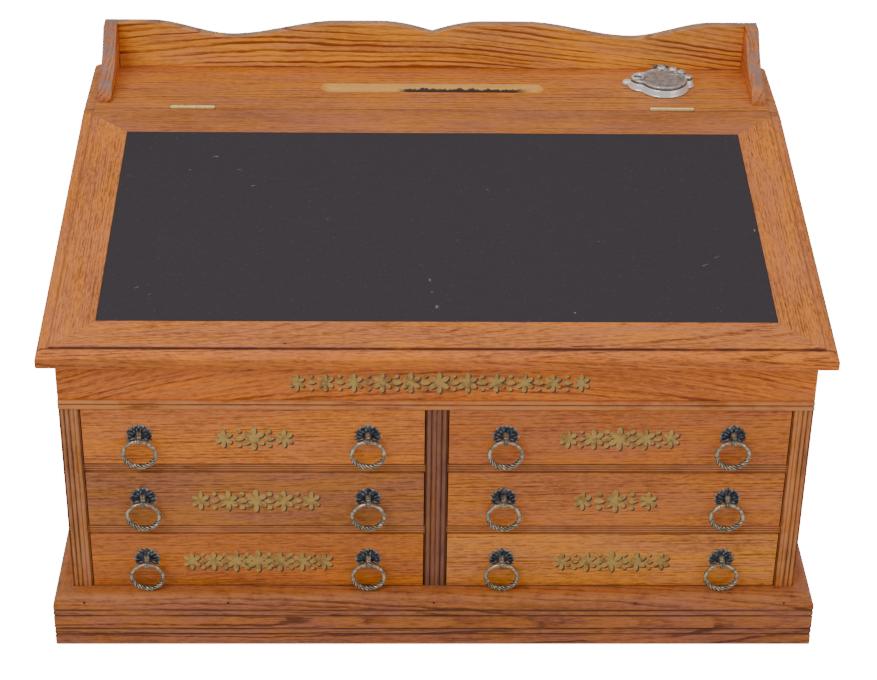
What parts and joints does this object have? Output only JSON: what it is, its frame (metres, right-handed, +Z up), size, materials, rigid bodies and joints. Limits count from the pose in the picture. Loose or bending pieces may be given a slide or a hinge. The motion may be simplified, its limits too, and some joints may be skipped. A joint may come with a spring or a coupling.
{
  "type": "spool cabinet",
  "caption": "Oak desk-top spool cabinet with shallow drawers on ring pulls, a sloping lift-up writing lid, an inkwell shelf and a scalloped gallery",
  "frame": {"origin": "under the middle of the footprint, on the floor", "axes": "+X to the right seen from the front, +Y to the back, +Z up"},
  "size_m": [0.846, 0.599, 0.4959],
  "materials": {
    "oak": "aged shellac over quartered and plain oak",
    "oak_drawer": "aged shellac, worn",
    "oak_dark": "dark stain, dulled",
    "oak_plinth": "worn stain with dark grain",
    "drawer_wood": "bare, aged",
    "back_wood": "bare, darkened with age",
    "brass": "worn bright",
    "silver": "polished silver plate, tarnished in the hollows",
    "ink_glass": "clear pressed glass",
    "black_cloth": "black coated writing cloth, scuffed",
    "blued_plate": "blue-black japanned, leaf tips worn bright",
    "ring_metal": "worn plate, dark in the twist"
  },
  "bodies": {
    "root": {"stile_left": "oak", "stile_right": "oak", "stile_centre": "oak_dark", "side_frame_left": "oak", "side_frame_right": "oak", "side_panel_left": "oak", "side_panel_right": "oak", "back_boards": "back_wood", "bottom_board": "drawer_wood", "desk_floor": "drawer_wood", "centre_partition": "drawer_wood", "drawer_rails": "oak", "drawer_runners": "drawer_wood", "frieze": "oak", "frieze_bead": "oak", "plinth_front": "oak_plinth", "plinth_sides": "oak_plinth", "shelf": "oak", "gallery_back": "oak", "gallery_brackets": "oak", "hinge_fixed_leaves": "brass", "inkwell_base": "silver", "inkwell_glass": "ink_glass"},
    "lid": {"hinge_lid_leaves": "brass", "lid_rail_front": "oak", "lid_rail_back": "oak", "lid_rails_side": "oak", "lid_panel": "back_wood", "writing_cloth": "black_cloth"},
    "inkwell_cover": {"inkwell_cover": "silver"},
    "drawer_1": {"drawer_1_front": "oak_drawer", "drawer_1_box": "drawer_wood", "drawer_1_plates": "blued_plate"},
    "drawer_1_ring_left": {"drawer_1_ring_left": "ring_metal"},
    "drawer_1_ring_right": {"drawer_1_ring_right": "ring_metal"},
    "drawer_2": {"drawer_2_front": "oak_drawer", "drawer_2_box": "drawer_wood", "drawer_2_plates": "blued_plate"},
    "drawer_2_ring_left": {"drawer_2_ring_left": "ring_metal"},
    "drawer_2_ring_right": {"drawer_2_ring_right": "ring_metal"},
    "drawer_3": {"drawer_3_front": "oak_drawer", "drawer_3_box": "drawer_wood", "drawer_3_plates": "blued_plate"},
    "drawer_3_ring_left": {"drawer_3_ring_left": "ring_metal"},
    "drawer_3_ring_right": {"drawer_3_ring_right": "ring_metal"},
    "drawer_4": {"drawer_4_front": "oak_drawer", "drawer_4_box": "drawer_wood", "drawer_4_plates": "blued_plate"},
    "drawer_4_ring_left": {"drawer_4_ring_left": "ring_metal"},
    "drawer_4_ring_right": {"drawer_4_ring_right": "ring_metal"},
    "drawer_5": {"drawer_5_front": "oak_drawer", "drawer_5_box": "drawer_wood", "drawer_5_plates": "blued_plate"},
    "drawer_5_ring_left": {"drawer_5_ring_left": "ring_metal"},
    "drawer_5_ring_right": {"drawer_5_ring_right": "ring_metal"},
    "drawer_6": {"drawer_6_front": "oak_drawer", "drawer_6_box": "drawer_wood", "drawer_6_plates": "blued_plate"},
    "drawer_6_ring_left": {"drawer_6_ring_left": "ring_metal"},
    "drawer_6_ring_right": {"drawer_6_ring_right": "ring_metal"}
  },
  "joints": [
    {"name": "lid_hinge", "type": "hinge", "parent": "root", "child": "lid", "pos_m": [0, 0.16975, 0.43838], "axis": [-1, 0, 0], "range_deg": [0, 140]},
    {"name": "inkwell_hinge", "type": "hinge", "parent": "root", "child": "inkwell_cover", "pos_m": [0.283, 0.27395, 0.44778], "axis": [-1, 0, 0], "range_deg": [0, 90]},
    {"name": "drawer_1_slide", "type": "slide", "parent": "root", "child": "drawer_1", "axis": [0, -1, 0], "range_m": [0, 0.42]},
    {"name": "drawer_1_pull_left", "type": "hinge", "parent": "drawer_1", "child": "drawer_1_ring_left", "pos_m": [-0.31775, -0.28625, 0.266], "axis": [-1, 0, 0], "range_deg": [-8, 100]},
    {"name": "drawer_1_pull_right", "type": "hinge", "parent": "drawer_1", "child": "drawer_1_ring_right", "pos_m": [-0.07375, -0.28625, 0.266], "axis": [-1, 0, 0], "range_deg": [-8, 100]},
    {"name": "drawer_2_slide", "type": "slide", "parent": "root", "child": "drawer_2", "axis": [0, -1, 0], "range_m": [0, 0.42]},
    {"name": "drawer_2_pull_left", "type": "hinge", "parent": "drawer_2", "child": "drawer_2_ring_left", "pos_m": [-0.31775, -0.28625, 0.184], "axis": [-1, 0, 0], "range_deg": [-8, 100]},
    {"name": "drawer_2_pull_right", "type": "hinge", "parent": "drawer_2", "child": "drawer_2_ring_right", "pos_m": [-0.07375, -0.28625, 0.184], "axis": [-1, 0, 0], "range_deg": [-8, 100]},
    {"name": "drawer_3_slide", "type": "slide", "parent": "root", "child": "drawer_3", "axis": [0, -1, 0], "range_m": [0, 0.42]},
    {"name": "drawer_3_pull_left", "type": "hinge", "parent": "drawer_3", "child": "drawer_3_ring_left", "pos_m": [-0.31775, -0.28625, 0.102], "axis": [-1, 0, 0], "range_deg": [-8, 100]},
    {"name": "drawer_3_pull_right", "type": "hinge", "parent": "drawer_3", "child": "drawer_3_ring_right", "pos_m": [-0.07375, -0.28625, 0.102], "axis": [-1, 0, 0], "range_deg": [-8, 100]},
    {"name": "drawer_4_slide", "type": "slide", "parent": "root", "child": "drawer_4", "axis": [0, -1, 0], "range_m": [0, 0.42]},
    {"name": "drawer_4_pull_left", "type": "hinge", "parent": "drawer_4", "child": "drawer_4_ring_left", "pos_m": [0.07375, -0.28625, 0.266], "axis": [-1, 0, 0], "range_deg": [-8, 100]},
    {"name": "drawer_4_pull_right", "type": "hinge", "parent": "drawer_4", "child": "drawer_4_ring_right", "pos_m": [0.31775, -0.28625, 0.266], "axis": [-1, 0, 0], "range_deg": [-8, 100]},
    {"name": "drawer_5_slide", "type": "slide", "parent": "root", "child": "drawer_5", "axis": [0, -1, 0], "range_m": [0, 0.42]},
    {"name": "drawer_5_pull_left", "type": "hinge", "parent": "drawer_5", "child": "drawer_5_ring_left", "pos_m": [0.07375, -0.28625, 0.184], "axis": [-1, 0, 0], "range_deg": [-8, 100]},
    {"name": "drawer_5_pull_right", "type": "hinge", "parent": "drawer_5", "child": "drawer_5_ring_right", "pos_m": [0.31775, -0.28625, 0.184], "axis": [-1, 0, 0], "range_deg": [-8, 100]},
    {"name": "drawer_6_slide", "type": "slide", "parent": "root", "child": "drawer_6", "axis": [0, -1, 0], "range_m": [0, 0.42]},
    {"name": "drawer_6_pull_left", "type": "hinge", "parent": "drawer_6", "child": "drawer_6_ring_left", "pos_m": [0.07375, -0.28625, 0.102], "axis": [-1, 0, 0], "range_deg": [-8, 100]},
    {"name": "drawer_6_pull_right", "type": "hinge", "parent": "drawer_6", "child": "drawer_6_ring_right", "pos_m": [0.31775, -0.28625, 0.102], "axis": [-1, 0, 0], "range_deg": [-8, 100]}
  ]
}
